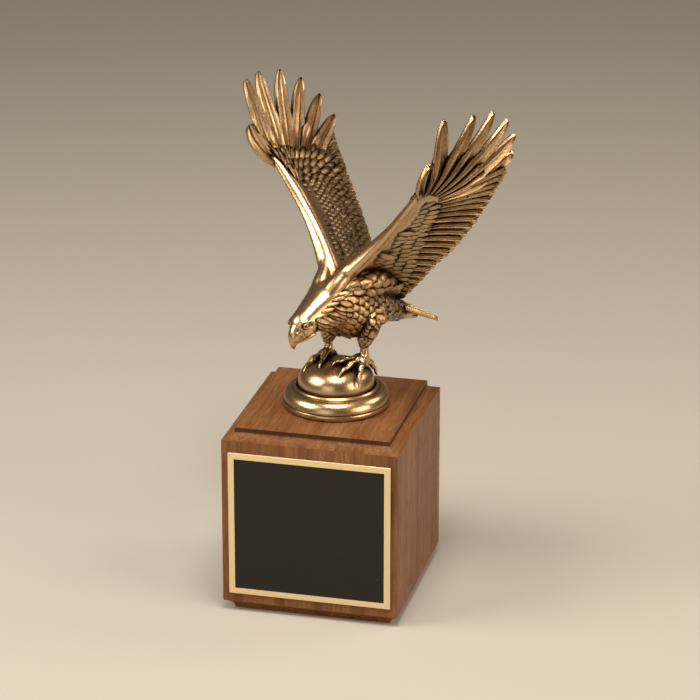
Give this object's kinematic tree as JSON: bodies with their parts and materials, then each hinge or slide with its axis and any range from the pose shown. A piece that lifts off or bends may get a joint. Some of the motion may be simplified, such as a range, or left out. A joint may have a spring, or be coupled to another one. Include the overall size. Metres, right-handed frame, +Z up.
{
  "type": "eagle trophy",
  "caption": "Cast bronze eagle with raised wings gripping a domed base, on a cove-edged walnut block with a blank framed name plate.",
  "frame": {"origin": "centre of the walnut block's underside", "axes": "+Z up; the face with the name plate looks along -Y; +X to the right of it"},
  "size_m": [0.1835, 0.1791, 0.3286],
  "materials": {
    "walnut": "satin lacquer",
    "antique_bronze": "antique, polished high points",
    "black_plate": "satin black with a pale gold border"
  },
  "bodies": {
    "root": {"walnut_block": "walnut", "eagle_casting": "antique_bronze", "name_plate": "black_plate"}
  },
  "joints": []
}
